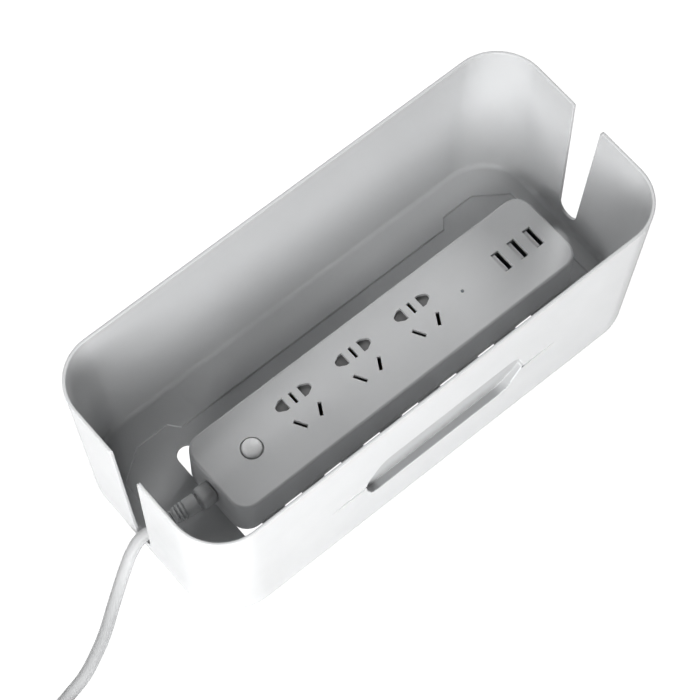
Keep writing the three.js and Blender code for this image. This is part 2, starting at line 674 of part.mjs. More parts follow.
// Insulated wires from the cord to the switch and the bars, and on to the charger board.
function buildWires() {
  const group = new THREE.Group();
  const wires = [
    ['wire_live', liveWire, [[-115, -1.9, 18.9], [-111, -4, 18], [-105, -7, 15.5], [-100, -8, 14]]],
    ['wire_switched', liveWire, [[-82.1, -8, 14], [-78.4, -9, 12.5], [-76.5, -13, 9], [-72.4, -15, 7.9]]],
    ['wire_neutral', neutralWire, [
      [-115, 1.9, 18.9], [-110, 4, 18], [-104.5, 11, 14], [-97, 15.5, 9.5], [-86, 17, 7.9], [-72.4, 17, 7.9],
    ]],
    ['wire_earth', earthWire, [
      [-115, 0, 15.6], [-111, 0.5, 12], [-106, 2, 6.5], [-99, 4.5, 4.6], [-88, 7, 4.6], [-72.4, EARTH_Y, 4.9],
    ]],
    ['wire_usb_live', liveWire, [[44.4, -15, 7.9], [46.5, -14.5, 8.8], [47.6, -13.5, 10.8], [49, -13.2, 11.6]]],
    ['wire_usb_neutral', neutralWire, [[44.4, 17, 7.9], [46.5, 16.5, 8.8], [47.6, 15.5, 10.8], [49, 15.2, 11.6]]],
  ];
  for (const [name, itsMaterial, points] of wires) {
    group.add(piece(name, tube(points, 1.2, 6, 4 * points.length), itsMaterial));
  }
  return group;
}

// ---- Mains cord and plug ------------------------------------------------------------------------

// A round-cornered collar outside the end wall, a neck through it, and a tapered sleeve on the cord.
function cordRelief() {
  const wall = STRIP_PLACE.x - STRIP.length / 2;
  const height = STRIP_PLACE.z + EXIT_HEIGHT;
  const collarLength = 9;
  const collarEnd = wall - GAP - collarLength;
  const along = (solid) => solid.rotate([0, 90, 0]);
  const collar = along(prism(roundedRectangle({ length: 13, width: 11, radius: 3 }), 0, collarLength, 3));
  const neck = along(cylinder(4.2, collarLength - 1, collarLength + 2 * GAP + STRIP_WALL + 1));
  const flange = along(cylinder(5.5, 0, 1)).translate([collarLength + 2 * GAP + STRIP_WALL, 0, 0]);
  const straight = joined([collar, neck, flange]).translate([collarEnd, STRIP_PLACE.y, height]);

  const start = new THREE.Vector3(collarEnd + 1, STRIP_PLACE.y, height);
  const axis = new THREE.Vector3(...RELIEF_END).sub(start);
  const long = axis.length() - GAP;
  const sleeve = turned([[0, 0], [4, 0], [4, 2.2], [5.2, 2.2], [5.2, 4.4], [4, long], [0, long]], 20);
  const geometry = toGeometry(sleeve);
  geometry.applyQuaternion(new THREE.Quaternion().setFromUnitVectors(new THREE.Vector3(0, 0, 1), axis.normalize()));
  geometry.translate(start.x, start.y, start.z);
  return straight.add(toSolid(geometry));
}

function cordCoil() {
  const inner = COIL_RADIUS - COIL_WIDE / 2;
  const outer = COIL_RADIUS + COIL_WIDE / 2;
  const round = 2.5;
  const ring = [
    [inner + round, 0], [outer - round, 0], [outer, round], [outer, COIL_HIGH - round],
    [outer - round, COIL_HIGH], [inner + round, COIL_HIGH], [inner, COIL_HIGH - round], [inner, round],
    [inner + round, 0],
  ];
  return turned(ring, 40).translate([COIL_PLACE.x, COIL_PLACE.y, COIL_PLACE.z]);
}

// Strap round the coil's turns, at the side away from the box.
function cordTie() {
  const strap = 1;
  const wide = 12;
  const inner = COIL_RADIUS - COIL_WIDE / 2 - 1;
  const outer = COIL_RADIUS + COIL_WIDE / 2 + GAP;
  const top = COIL_PLACE.z + COIL_HIGH + GAP;
  const loop = box([-outer - strap, strap - inner], [-wide / 2, wide / 2], [0, top + strap]);
  const hole = box([-outer, -inner], [-wide, wide], [COIL_PLACE.z - GAP, top]);
  return loop.subtract(hole).translate([COIL_PLACE.x, COIL_PLACE.y, 0]);
}

const PLUG_REAR = CORD_END[2][0] + 2 * GAP;
const PLUG_RELIEF = 22;
const PLUG_LONG = 36;
const PIN_DEPTH = 3;

// Blades of the plug: name, place across the front face, length in front of it, and slant.
const PINS = [
  ['plug_pin_earth', 0, 10.31, 21, 0],
  ['plug_pin_live', -SLANTED_X, -3.96, 18, SLANTED_ANGLE],
  ['plug_pin_neutral', SLANTED_X, -3.96, 18, -SLANTED_ANGLE],
];

function blade(grow, bottom, top, x, y, angle) {
  const solid = centredBox([1.5 + grow, 6.3 + grow, top - bottom], [0, 0, (bottom + top) / 2]);
  return solid.rotate([0, 0, THREE.MathUtils.radToDeg(angle)]).translate([x, y, 0]);
}

// The plug is made standing on its cord end, and laid down on its side afterwards.
function buildPlug() {
  const group = new THREE.Group();
  group.position.set(PLUG_REAR, PLUG_AXIS.y, PLUG_AXIS.z);
  group.rotation.set(0, Math.PI / 2, 0);
  const front = PLUG_RELIEF + PLUG_LONG;
  let body = loftedBlock([
    { length: 17, width: 17, radius: 6, z: PLUG_RELIEF - 1 },
    { length: 28, width: 30, radius: 9, z: PLUG_RELIEF + 18 },
    { length: 30, width: 32, radius: 9, z: front },
  ]);
  body = body.add(turned([[0, 0], [4.5, 0], [6, PLUG_RELIEF], [0, PLUG_RELIEF]], 20));
  const pocket = 2 * GAP;
  for (const [, x, y, , angle] of PINS) {
    body = body.subtract(blade(pocket, front - PIN_DEPTH - GAP, front + 1, x, y - 3, angle));
  }
  group.add(piece('plug_body', body, cordJacket));
  for (const [name, x, y, long, angle] of PINS) {
    group.add(piece(name, blade(0, front - PIN_DEPTH, front + long, x, y - 3, angle), brass));
  }
  return group;
}

function buildCord() {
  const group = new THREE.Group();
  group.add(piece('cord_relief', cordRelief(), cordJacket));
  group.add(piece('cord', tube(CORD_ROUTE, CORD_RADIUS, 10, 12 * 4), cordJacket));
  group.add(piece('cord_coil', cordCoil(), cordJacket));
  group.add(piece('cord_tie', cordTie(), darkPlastic));
  group.add(piece('cord_end', tube(CORD_END, CORD_RADIUS, 10, 2), cordJacket));
  group.add(buildPlug());
  return group;
}

// ---- Assembly -----------------------------------------------------------------------------------

const strip = new THREE.Group();
strip.position.set(STRIP_PLACE.x, STRIP_PLACE.y, STRIP_PLACE.z);
strip.add(buildCasing(), buildContacts(), buildSwitch(), buildCharger(), buildWires());

const cableTray = new THREE.Group();
cableTray.add(buildTray(), strip, buildCord());

export default cableTray;
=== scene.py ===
import math

import bmesh
import bpy
from mathutils import Matrix, Vector


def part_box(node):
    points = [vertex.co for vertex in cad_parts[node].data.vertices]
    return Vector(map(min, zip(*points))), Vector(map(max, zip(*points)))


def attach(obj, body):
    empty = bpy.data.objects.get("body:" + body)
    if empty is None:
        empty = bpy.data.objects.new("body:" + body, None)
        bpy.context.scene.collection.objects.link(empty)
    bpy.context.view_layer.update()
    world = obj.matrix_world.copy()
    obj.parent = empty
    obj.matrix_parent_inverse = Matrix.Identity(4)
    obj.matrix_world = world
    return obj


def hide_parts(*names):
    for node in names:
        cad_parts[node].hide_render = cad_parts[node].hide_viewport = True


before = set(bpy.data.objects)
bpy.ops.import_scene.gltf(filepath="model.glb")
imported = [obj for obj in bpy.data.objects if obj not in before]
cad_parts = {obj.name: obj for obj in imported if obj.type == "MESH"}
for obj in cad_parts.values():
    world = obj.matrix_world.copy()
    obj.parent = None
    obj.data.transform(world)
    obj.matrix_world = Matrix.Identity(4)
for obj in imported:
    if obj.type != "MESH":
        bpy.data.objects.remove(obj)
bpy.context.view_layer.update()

# Cable tray with a power strip in it. Shapes are worked out in millimetres, in the frame of the CAD
# model, and scaled to metres as each piece is made.
MM = 0.001

# Edges that turn by more than this many degrees stay crisp in the shading.
SHARP_ANGLE = 40

# Smallest corner radius that an inset outline keeps.
LEAST_CORNER = 0.3

# Reach of the tests for an edge that lies at a given height.
NEAR = 0.05

# Range that most of a noise texture's values fall in.
NOISE_LOW = 0.3
NOISE_HIGH = 0.7


def node_box(node):
    """Lowest and highest corner of a CAD node, in millimetres."""
    low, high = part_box(node)
    return low / MM, high / MM


# ---- Driving dimensions -------------------------------------------------------------------------

TRAY_LOW, TRAY_HIGH = node_box("tray_shell")
FOOT_LIFT = TRAY_LOW.z
RIM = TRAY_HIGH.z
RIM_OUTLINE = (TRAY_HIGH.x - TRAY_LOW.x, TRAY_HIGH.y - TRAY_LOW.y, 29)
BASE_OUTLINE = (302, 130.5, 32)
WALL = 2
FLOOR_TOP = FOOT_LIFT + 2.2
LEDGE_TOP = FLOOR_TOP + 1.2
EDGE = 0.45
TRAY_FOOT_X = 118
TRAY_FOOT_Y = 36
TRAY_FOOT_RADIUS = 8
TRAY_FOOT_GAP = 0.3
TRAY_FOOT_SUNK = 0.5
TRAY_FOOT_RECESS = 0.8
# The flat outer face of the front wall lies wholly in front of this Y.
FRONT_FACE_Y = -64.5

NOTCH_RIM_WIDTH = 20.8
NOTCH_RADIUS = 6.9
NOTCH_BOTTOM = 11.7
NOTCH_CORNER = 2

RECESS_HEIGHT = 35
RECESS_CENTRE = 55.7
RECESS_FLAT = 92
RECESS_WAIST = 110
RECESS_SKEW = 2.5
RECESS_TOP_Y = -66.7
RECESS_BOTTOM_Y = -60.9
RECESS_FRONT = -76
POCKET_FRONT = -66.2
RECESS_LIP = 0.8
# Drop of the recess's lower side for each unit of depth behind the wall's outer face.
RECESS_SAG = 0.45
# Depths behind the wall's outer face between which a face belongs to the inside of the recess, which gets
# painted shade.
RECESS_SHALLOWEST = 0.9
RECESS_DEEPEST = 6.6
GROOVE_LENGTH = 158
GROOVE_WIDTH = 2.6
GROOVE_CENTRE = 54.2
GROOVE_DEPTH = 1.2
GROOVE_FADE = 20

SLOT_COUNT = 8
SLOT_PITCH = 27.45
SLOT_FIRST = -101.3
SLOT_WIDTH = 12
SLOT_FRONT = -38
SLOT_BACK = 31.3

# The strip's pieces are drawn round its own origin, under its middle on its underside.
BASE_LOW, BASE_HIGH = node_box("strip_base")
STRIP_ORIGIN = Vector(((BASE_LOW.x + BASE_HIGH.x) / 2, (BASE_LOW.y + BASE_HIGH.y) / 2, BASE_LOW.z))
STRIP = (BASE_HIGH.x - BASE_LOW.x, BASE_HIGH.y - BASE_LOW.y, 10.5)
STRIP_TOP = node_box("strip_cover")[1].z - STRIP_ORIGIN.z
COVER_BOTTOM = 4.3
CEILING = STRIP_TOP - 2.2
TOP_ROUND = 1.7
ROW_Y = -0.6
SWITCH_X = -91.1
SWITCH_Y = 0.9
BUTTON_RADIUS = 5.6
BUTTON_HOLE = 6.4
SOCKET_X = (-55.6, -14.15, 27.3)
LAMP_X = 54.9
LAMP_RADIUS = 0.6
LAMP_HOLE = 0.85
USB_X = (83.5, 94.95, 106.4)
SCREW_X = 109
SCREW_Y = 17
STRIP_FOOT_X = 96
EARTH_Y = 9.4
SLANTED = (6.86, -4.9, 30)
EXIT_HEIGHT = 17.8
EXIT_HOLE = 4.5
WIRE_RADIUS = 1.2

CORD_RADIUS = 3.5
RELIEF_END = Vector((-133.8, -3.4, 19.7))
CORD_ROUTE = [
    RELIEF_END, (-143, -1.9, 17.8), (-152.5, -0.6, 15.8), (-160.2, -2.4, 13.1), (-168.3, -6.3, 9.3),
    (-177.6, -12, 5.9), (-187.5, -18.7, 4), (-198, -26.2, 3.6), (-208.5, -32.3, 3.6),
    (-220.9, -38, 3.6), (-233.2, -41.1, 3.7), (-244, -43.6, 4.1), (-254.8, -46, 4.6),
]
COIL_LOW, COIL_HIGH = node_box("cord_coil")
COIL_CENTRE = (COIL_LOW + COIL_HIGH) / 2
TURN_PITCH = 7.1
OUTER_TURN = (COIL_HIGH.x - COIL_LOW.x) / 2 - TURN_PITCH / 2

CORNERS = [("front_left", -1, -1), ("front_right", 1, -1), ("back_left", -1, 1), ("back_right", 1, 1)]

# ---- Shapes -------------------------------------------------------------------------------------


def rounded(length, width, radius, steps=12):
    """Corner points of a rounded rectangle, anticlockwise from its right side."""
    points = []
    for x, y, start in ((1, 1, 0), (-1, 1, 90), (-1, -1, 180), (1, -1, 270)):
        middle = Vector((x * (length / 2 - radius), y * (width / 2 - radius)))
        for i in range(steps + 1):
            angle = math.radians(start + 90 * i / steps)
            points.append(middle + radius * Vector((math.cos(angle), math.sin(angle))))
    return points


def inset(outline, distance):
    length, width, radius = outline
    return length - 2 * distance, width - 2 * distance, max(radius - distance, LEAST_CORNER)


def level(outline, z, steps=12, shift=(0, 0)):
    return [(p.x + shift[0], p.y + shift[1], z) for p in rounded(*outline, steps)]


def quarter(radius, steps, rising=True):
    """Distances from the edge and heights along a quarter round, from the flat to the side."""
    for i in range(steps + 1):
        angle = math.radians(90 * i / steps)
        if rising:
            yield radius * (1 - math.sin(angle)), radius * (1 - math.cos(angle))
        else:
            yield radius * (1 - math.cos(angle)), radius * (math.sin(angle) - 1)


def loft(rings, capped=True):
    """A skin over rings of points, which all have the same number of points."""
    bm = bmesh.new()
    made = [[bm.verts.new(p) for p in ring] for ring in rings]
    count = len(made[0])
    for a, b in zip(made, made[1:]):
        for i in range(count):
            j = (i + 1) % count
            bm.faces.new((a[i], a[j], b[j], b[i]))
    if capped:
        bm.faces.new(made[0][::-1])
        bm.faces.new(made[-1])
    return outward(bm)


def outward(bm):
    bmesh.ops.recalc_face_normals(bm, faces=bm.faces)
    return bm


def prism(points, low, high):
    return loft([[(x, y, low) for x, y in points], [(x, y, high) for x, y in points]])


def block(size, centre):
    x, y, z = (s / 2 for s in size)
    bm = prism([(-x, -y), (x, -y), (x, y), (-x, y)], -z, z)
    return moved(bm, Matrix.Translation(centre))


def lathe(profile, steps=48):
    """A solid of revolution about Z. The profile runs from the bottom up, from axis to axis."""
    rings = []
    for radius, z in profile:
        at = max(radius, 0.001)
        turn = [math.tau * i / steps for i in range(steps)]
        rings.append([(at * math.cos(a), at * math.sin(a), z) for a in turn])
    bm = loft(rings)
    bmesh.ops.remove_doubles(bm, verts=bm.verts, dist=0.0005)
    return outward(bm)


def moved(bm, matrix):
    bmesh.ops.transform(bm, matrix=matrix, verts=bm.verts)
    return bm


def together(parts):
    """Separate solids in one mesh."""
    whole = bmesh.new()
    for part in parts:
        mesh = bpy.data.meshes.new("part")
        part.to_mesh(mesh)
        part.free()
        whole.from_mesh(mesh)
        bpy.data.meshes.remove(mesh)
    return whole


def work_object(bm):
    mesh = bpy.data.meshes.new("work")
    bm.to_mesh(mesh)
    bm.free()
    obj = bpy.data.objects.new("work", mesh)
    bpy.context.scene.collection.objects.link(obj)
    return obj


def combined(bm, tool, operation="DIFFERENCE"):
    """The mesh with the tool cut out of it, or joined to it."""
    target, other = work_object(bm), work_object(tool)
    modifier = target.modifiers.new("combine", "BOOLEAN")
    modifier.object = other
    modifier.operation = operation
    modifier.solver = "EXACT"
    shown = target.evaluated_get(bpy.context.evaluated_depsgraph_get())
    result = bmesh.new()
    result.from_mesh(shown.to_mesh())
    for obj in (target, other):
        bpy.data.meshes.remove(obj.data)
    return result


def soften(bm, width, angle=35, segments=3, where=None):
    """Rounds the edges that are sharper than the angle."""
    limit = math.radians(angle)
    edges = [
        e for e in bm.edges
        if len(e.link_faces) == 2 and e.calc_face_angle() > limit
        and (where is None or where((e.verts[0].co + e.verts[1].co) / 2))
    ]
    bmesh.ops.bevel(
        bm, geom=edges, offset=width, offset_type="OFFSET", segments=segments, profile=0.5,
        affect="EDGES", clamp_overlap=False,
    )
    return bm


def finished(name, bm, material, body, replaces):
    """Makes the piece from a mesh in millimetres, smooth but for its sharp edges."""
    bm.normal_update()
    for face in bm.faces:
        face.smooth = True
    for edge in bm.edges:
        if len(edge.link_faces) == 2:
            edge.smooth = edge.calc_face_angle() < math.radians(SHARP_ANGLE)
    bmesh.ops.scale(bm, vec=(MM, MM, MM), verts=bm.verts)
    mesh = bpy.data.meshes.new(name)
    bm.to_mesh(mesh)
    bm.free()
    obj = bpy.data.objects.new(name, mesh)
    bpy.context.scene.collection.objects.link(obj)
    mesh.materials.append(material)
    weighted = obj.modifiers.new("even_shading", "WEIGHTED_NORMAL")
    weighted.keep_sharp = True
    attached(obj, body, replaces)
    return obj


def attached(obj, body, replaces):
    """Ties a piece to its body and hides the CAD node or nodes that it stands for."""
    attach(obj, body)
    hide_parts(*([replaces] if isinstance(replaces, str) else replaces))


def line_piece(name, points, radius, material, body, replaces, sides):
    """A round tube along a smooth line through the points."""
    curve = bpy.data.curves.new(name, "CURVE")
    curve.dimensions = "3D"
    curve.bevel_depth = radius * MM
    curve.bevel_resolution = sides
    curve.use_fill_caps = True
    curve.resolution_u = 8
    spline = curve.splines.new("BEZIER")
    spline.bezier_points.add(len(points) - 1)
    for knot, point in zip(spline.bezier_points, points):
        knot.co = Vector(point) * MM
        knot.handle_left_type = knot.handle_right_type = "AUTO"
    obj = bpy.data.objects.new(name, curve)
    bpy.context.scene.collection.objects.link(obj)
    curve.materials.append(material)
    attached(obj, body, replaces)
    return obj


# ---- Materials ----------------------------------------------------------------------------------


def link(material, start, end):
    material.node_tree.links.new(start, end)


def add(material, kind, **settings):
    node = material.node_tree.nodes.new(kind)
    for key, value in settings.items():
        setattr(node, key, value)
    return node


def noise(material, scale, detail=2.0, stretch=(1, 1, 1)):
    """Noise over the piece's own coordinates; scale is in features per metre."""
    place = add(material, "ShaderNodeTexCoord")
    mapping = add(material, "ShaderNodeMapping")
    mapping.inputs["Scale"].default_value = stretch
    texture = add(material, "ShaderNodeTexNoise")
    texture.inputs["Scale"].default_value = scale
    texture.inputs["Detail"].default_value = detail
    link(material, place.outputs["Object"], mapping.inputs["Vector"])
    link(material, mapping.outputs["Vector"], texture.inputs["Vector"])
    return texture.outputs["Fac"]


def ranged(material, value, low, high):
    node = add(material, "ShaderNodeMapRange")
    node.inputs["From Min"].default_value = NOISE_LOW
    node.inputs["From Max"].default_value = NOISE_HIGH
    node.inputs["To Min"].default_value = low
    node.inputs["To Max"].default_value = high
    link(material, value, node.inputs["Value"])
    return node.outputs["Result"]


def blended(material, value, first, second):
    ramp = add(material, "ShaderNodeValToRGB")
    ramp.color_ramp.elements[0].position = NOISE_LOW
    ramp.color_ramp.elements[0].color = (*first, 1)
    ramp.color_ramp.elements[1].position = NOISE_HIGH
    ramp.color_ramp.elements[1].color = (*second, 1)
    link(material, value, ramp.inputs["Fac"])
    return ramp.outputs["Color"]


def surface(name, colour, roughness, *, vary=0.03, blotch=40, grain=1800, grain_depth=0.012,
            metallic=0.0, ior=1.46, spread=0.05, stretch=(1, 1, 1), **sockets):
    """A solid's finish: slow changes of tone, uneven gloss and a fine grain in relief."""
    material = bpy.data.materials.new(name)
    material.use_nodes = True
    shader = material.node_tree.nodes["Principled BSDF"]
    shader.inputs["Metallic"].default_value = metallic
    shader.inputs["IOR"].default_value = ior
    for socket, value in sockets.items():
        shader.inputs[socket.replace("_", " ")].default_value = value
    darker = tuple(c * (1 - vary) for c in colour)
    lighter = tuple(min(1, c * (1 + vary)) for c in colour)
    tone = blended(material, noise(material, blotch, 3, stretch), darker, lighter)
    link(material, tone, shader.inputs["Base Color"])
    patches = noise(material, 3 * blotch, 2, stretch)
    gloss = ranged(material, patches, roughness - spread, roughness + spread)
    link(material, gloss, shader.inputs["Roughness"])
    bump = add(material, "ShaderNodeBump")
    bump.inputs["Strength"].default_value = 0.6
    bump.inputs["Distance"].default_value = grain_depth * MM
    link(material, noise(material, grain, 2, stretch), bump.inputs["Height"])
    link(material, bump.outputs["Normal"], shader.inputs["Normal"])
    return material


def grey(value):
    return value, value, value


white_plastic = surface("white_plastic", (0.715, 0.72, 0.725), 0.42, vary=0.012, blotch=18, grain=2600)
# Darker copy of the white plastic for the inside of the recess: painted shade of the recess.
recess_painted_shade_plastic = surface("recess_painted_shade_plastic", (0.575, 0.58, 0.585), 0.42, vary=0.012, blotch=18, grain=2600)
strip_plastic = surface("strip_plastic", (0.755, 0.76, 0.765), 0.40, vary=0.012, blotch=30, grain=3000)
button_plastic = surface(
    "button_plastic", (0.899, 0.9, 0.9), 0.28, vary=0.01, grain=2600, grain_depth=0.004,
)
shutter_plastic = surface("shutter_plastic", grey(0.30), 0.5, vary=0.06)
dark_plastic = surface("dark_plastic", grey(0.03), 0.45, vary=0.15, ior=1.5)
foot_rubber = surface("foot_rubber", grey(0.25), 0.78, vary=0.08, blotch=200, grain=1500, grain_depth=0.04)
cord_jacket = surface(
    "cord_jacket", (0.588, 0.592, 0.596), 0.38, vary=0.015, blotch=60, grain=1600, grain_depth=0.02,
)
brass_contact = surface(
    "brass_contact", (0.71, 0.50, 0.23), 0.32, vary=0.12, metallic=1, grain=900, stretch=(0.15, 1, 1),
)
pin_brass = surface(
    "pin_brass", (0.74, 0.58, 0.30), 0.24, vary=0.08, metallic=1, grain=1500, stretch=(0.1, 1, 1),
)
steel_part = surface(
    "steel_part", (0.60, 0.61, 0.62), 0.3, vary=0.08, metallic=1, grain=1400, stretch=(1, 1, 0.2),
)
board_green = surface(
    "board_green", (0.02, 0.13, 0.05), 0.35, vary=0.35, blotch=260, grain=700, grain_depth=0.05,
)
coil_tape = surface("coil_tape", (0.65, 0.42, 0.04), 0.35, vary=0.1, grain=500, stretch=(0.3, 0.3, 3))
capacitor_sleeve = surface("capacitor_sleeve", (0.02, 0.03, 0.06), 0.3, vary=0.2)
lamp_lens = surface("lamp_lens", (0.75, 0.82, 0.88), 0.15, vary=0.03, Transmission_Weight=0.5)
wire_brown = surface("wire_brown", (0.16, 0.055, 0.02), 0.4, vary=0.1)
wire_blue = surface("wire_blue", (0.02, 0.09, 0.35), 0.4, vary=0.1)
wire_green = surface("wire_green", (0.16, 0.36, 0.03), 0.4, vary=0.1)
tie_strap = surface("tie_strap", grey(0.035), 0.85, vary=0.4, blotch=900, grain=1400, grain_depth=0.15)

# ---- The box ------------------------------------------------------------------------------------


def tray_outline(z, distance=0):
    """Outline of the box at a height, moved in by a distance."""
    t = (z - FOOT_LIFT) / (RIM - FOOT_LIFT)
    return inset([low + (high - low) * t for low, high in zip(BASE_OUTLINE, RIM_OUTLINE)], distance)


def tray_body():
    """Floor and walls: rings run from the underside up the outside, over the rim and down the inside."""
    foot_round, inner_round, rim_round, steps = 2.5, 3, 0.75, 16
    rings = []
    for distance, rise in quarter(foot_round, 6):
        rings.append((distance, FOOT_LIFT + rise))
    for distance, rise in quarter(rim_round, 4, rising=False):
        rings.append((distance, RIM + rise))
    for distance, rise in reversed(list(quarter(rim_round, 4, rising=False))):
        rings.append((WALL - distance, RIM + rise))
    for distance, rise in reversed(list(quarter(inner_round, 6))):
        rings.append((WALL + distance, LEDGE_TOP + rise))
    return loft([level(tray_outline(z, distance), z, steps) for distance, z in rings])


def notch_outline():
    """Wedge with a round bottom, whose upper corners turn outwards over the rim."""
    centre = NOTCH_BOTTOM + NOTCH_RADIUS
    tilt = math.atan2(NOTCH_RIM_WIDTH / 2 - NOTCH_RADIUS, RIM - centre)
    half = NOTCH_RIM_WIDTH / 2
    steps = 12
    right = []
    for i in range(steps + 1):
        angle = -math.pi / 2 + (math.pi / 2 - tilt) * i / steps
        right.append((NOTCH_RADIUS * math.cos(angle), centre + NOTCH_RADIUS * math.sin(angle)))
    middle = half + NOTCH_CORNER - NOTCH_CORNER * math.tan(tilt)
    for i in range(steps // 2 + 1):
        angle = math.pi - tilt - (math.pi / 2 - tilt) * i / (steps // 2)
        right.append((middle + NOTCH_CORNER * math.cos(angle), RIM - NOTCH_CORNER + 0.02
                      + NOTCH_CORNER * math.sin(angle)))
    right.append((middle, RIM + 5))
    return right + [(-x, z) for x, z in reversed(right[1:])]


def end_notches():
    tools = []
    for side in (-1, 1):
        x = side * BASE_OUTLINE[0] / 2
        rings = [[(x + reach, y, z) for y, z in notch_outline()] for reach in (-12, 12)]
        tools.append(loft(rings))
    return together(tools)


def recess_outline(grow):
    """Six-sided outline with rounded corners, widest at its waist and slightly skewed."""
    corner, steps = 6, 6
    high = RECESS_HEIGHT / 2 + grow
    flat = RECESS_FLAT / 2 + grow
    waist = RECESS_WAIST / 2 + 1.2 * grow
    ends = [
        (waist, 0), (flat + RECESS_SKEW, high), (RECESS_SKEW - flat, high),
        (-waist, 0), (-flat - RECESS_SKEW, -high), (flat - RECESS_SKEW, -high),
    ]
    ends = [Vector((x, RECESS_CENTRE + z)) for x, z in ends]
    points = []
    for i, end in enumerate(ends):
        start = end + (ends[i - 1] - end).normalized() * corner
        stop = end + (ends[(i + 1) % len(ends)] - end).normalized() * corner
        for k in range(steps + 1):
            t = k / steps
            points.append(start * (1 - t) ** 2 + 2 * t * (1 - t) * end + t * t * stop)
    return points


def recess_plate(front, behind, grow=0):
    """Plate from a plane of Y to the leaning back of the recess, or to a distance behind it.

    The lower side of the plate slopes down towards the back of the recess.
    """
    points = recess_outline(grow)
    top = RECESS_CENTRE + RECESS_HEIGHT / 2
    lean = (RECESS_BOTTOM_Y - RECESS_TOP_Y) / RECESS_HEIGHT
    outer = -tray_outline(RECESS_CENTRE)[1] / 2

    def ring(depth):
        placed = []
        for x, z in points:
            y = depth(z)
            low = min(1, max(0, 2 * (RECESS_CENTRE - z) / RECESS_HEIGHT))
            placed.append((x, y, z - low * RECESS_SAG * (y - outer)))
        return placed

    return loft([ring(lambda z: front), ring(lambda z: RECESS_TOP_Y + lean * (top - z) + behind)])


def groove_tail(side):
    """Groove from an end of the recess: a level lower side, a sloping upper side, fading outwards."""
    tip, root, steps, proud = GROOVE_LENGTH / 2, RECESS_WAIST / 2 - 1.5, 12, 0.6
    outer = -tray_outline(GROOVE_CENTRE)[1] / 2
    rings = []
    for i in range(steps + 1):
        x = tip + (root - tip) * i / steps
        size = max(0.03, math.sin(math.pi / 2 * min(1, (tip - x) / GROOVE_FADE)))
        ledge = GROOVE_CENTRE - GROOVE_WIDTH / 2 * size
        rings.append([
            (side * x, outer - proud, ledge - 0.08), (side * x, outer + GROOVE_DEPTH * size, ledge),
            (side * x, outer - proud, ledge + 1.5 * GROOVE_WIDTH * size),
        ])
    return loft(rings)


def sunken_floor():
    """Middle of the floor: wide near both ends, narrower between, with cut corners."""
    quarter_points = [(94, 40), (99, 46), (120, 46), (138, 33)]
    right = [(x, -y) for x, y in quarter_points] + quarter_points[::-1]
    points = right + [(-x, -y) for x, y in right]
    return prism(points, FLOOR_TOP, LEDGE_TOP + 5)


def floor_slots():
    tools = []
    for i in range(SLOT_COUNT):
        outline = (SLOT_WIDTH, SLOT_BACK - SLOT_FRONT, SLOT_WIDTH / 2 - 0.01)
        shift = (SLOT_FIRST + i * SLOT_PITCH, (SLOT_FRONT + SLOT_BACK) / 2)
        tools.append(loft([level(outline, z, 10, shift) for z in (-1, LEDGE_TOP + 1)]))
    return together(tools)


def foot_recesses():
    radius = TRAY_FOOT_RADIUS + TRAY_FOOT_GAP
    top = FOOT_LIFT + TRAY_FOOT_RECESS
    return together([
        moved(lathe([(0, -1), (radius, -1), (radius, top), (0, top)]),
              Matrix.Translation((x * TRAY_FOOT_X, y * TRAY_FOOT_Y, 0)))
        for _, x, y in CORNERS
    ])


def low_recess_rim(p):
    """Whether a point is on the lower part of the recess's rim."""
    across = abs(p.x) < RECESS_WAIST / 2 + 1
    upright = abs(p.z - RECESS_CENTRE) < RECESS_HEIGHT / 2 + 1
    return p.y < FRONT_FACE_Y and across and upright and p.z < RECESS_CENTRE - 1


def inside_recess(p):
    """Whether a point is on the back or the sides of the recess, where the recess's shade is painted."""
    depth = p.y + tray_outline(p.z)[1] / 2
    across = abs(p.x) < RECESS_WAIST / 2
    upright = abs(p.z - RECESS_CENTRE) < RECESS_HEIGHT / 2 + 3
    return RECESS_SHALLOWEST < depth < RECESS_DEEPEST and across and upright


def on_groove(p):
    """Whether a point is on or near either tail of the groove."""
    along = RECESS_WAIST / 2 - 2 < abs(p.x) < GROOVE_LENGTH / 2 + 1
    return p.y < FRONT_FACE_Y and along and abs(p.z - GROOVE_CENTRE) < 5


def build_tray():
    shell = tray_body()
    shell = combined(shell, sunken_floor())
    shell = combined(shell, recess_plate(POCKET_FRONT, WALL, WALL), "UNION")
    shell = combined(shell, recess_plate(RECESS_FRONT, 0))
    for tool in (floor_slots(), end_notches(), foot_recesses()):
        shell = combined(shell, tool)
    # The groove is cut before the edges are rounded: a cut into rounded edges leaves the mesh open.
    for side in (-1, 1):
        shell = combined(shell, groove_tail(side))
    soften(shell, RECESS_LIP, segments=4, where=lambda p: low_recess_rim(p) and not on_groove(p))
    soften(shell, EDGE, where=lambda p: not low_recess_rim(p) and not on_groove(p))
    moulding = finished("tray_shell_moulding", shell, white_plastic, "tray", "tray_shell")
    # The faces inside the recess take the darker copy of the plastic: painted shade of the recess.
    moulding.data.materials.append(recess_painted_shade_plastic)
    for face in moulding.data.polygons:
        if inside_recess(face.center / MM):
            face.material_index = 1
    for name, x, y in CORNERS:
        top = FOOT_LIFT + TRAY_FOOT_SUNK
        foot = lathe([
            (0, 0.25), (5.6, 0.25), (5.9, 0), (7.6, 0), (7.9, 0.12), (TRAY_FOOT_RADIUS, 0.4),
            (TRAY_FOOT_RADIUS, top - 0.1), (7.9, top), (0, top),
        ], 64)
        moved(foot, Matrix.Translation((x * TRAY_FOOT_X, y * TRAY_FOOT_Y, 0)))
        finished(f"rubber_foot_{name}", foot, foot_rubber, "tray", f"tray_foot_{name}")


build_tray()

# ---- The power strip's casing -------------------------------------------------------------------


def in_strip(bm):
    return moved(bm, Matrix.Translation(STRIP_ORIGIN))


def turned(bm, degrees, x, y):
    turn = Matrix.Rotation(math.radians(degrees), 4, "Z")
    return moved(bm, Matrix.Translation((x, y, 0)) @ turn)


